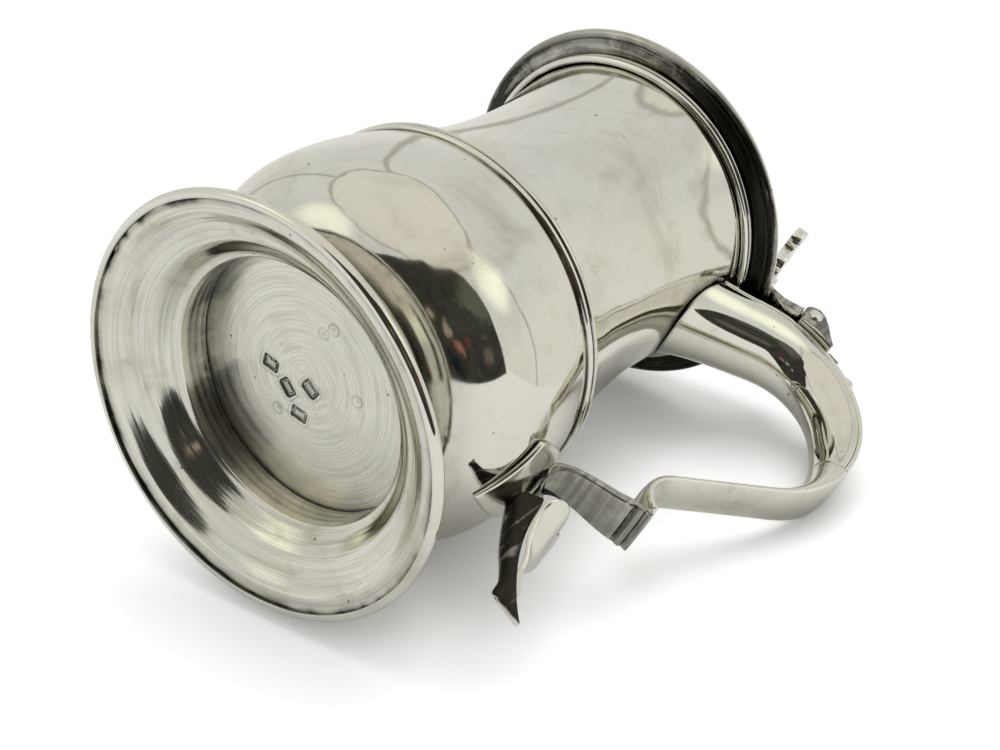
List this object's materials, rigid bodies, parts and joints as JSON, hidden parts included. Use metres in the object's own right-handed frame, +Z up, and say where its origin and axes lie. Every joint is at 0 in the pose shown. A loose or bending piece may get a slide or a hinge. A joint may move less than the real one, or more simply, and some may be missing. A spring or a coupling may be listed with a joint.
{
  "type": "lidded tankard",
  "caption": "Silver baluster tankard with a spreading foot, a hollow scroll handle, a hinged domed lid and a pierced thumbpiece.",
  "frame": {"origin": "centre of the foot on the plane that it rests on", "axes": "+Z up along the body, +X out along the handle, Y along the hinge pin"},
  "size_m": [0.1632, 0.116, 0.1997],
  "materials": {
    "silver_polished": "polished, hand worked",
    "silver_turned": "turned and polished",
    "silver_worn": "worn polish"
  },
  "bodies": {
    "tankard": {"body_shell": "silver_polished", "foot": "silver_turned", "foot_wire": "silver_polished", "girdle_band": "silver_polished", "lip_moulding": "silver_polished", "handle_trough": "silver_polished", "handle_back": "silver_polished", "lower_strap": "silver_worn", "lower_scroll": "silver_worn", "lozenge_pad": "silver_worn", "tail": "silver_worn", "heart_plate": "silver_polished", "hinge_leaf": "silver_polished", "hinge_drop": "silver_polished", "crossbar": "silver_polished", "hinge_pin": "silver_worn"},
    "lid": {"lid_dome": "silver_polished", "lid_wire": "silver_polished", "lid_bezel": "silver_worn", "lid_tongue": "silver_polished", "thumbpiece": "silver_polished"}
  },
  "joints": [
    {"name": "lid_hinge", "type": "hinge", "parent": "tankard", "child": "lid", "pos_m": [0.0647, 0, 0.1687], "axis": [0, 1, 0], "range_deg": [0, 110]}
  ]
}
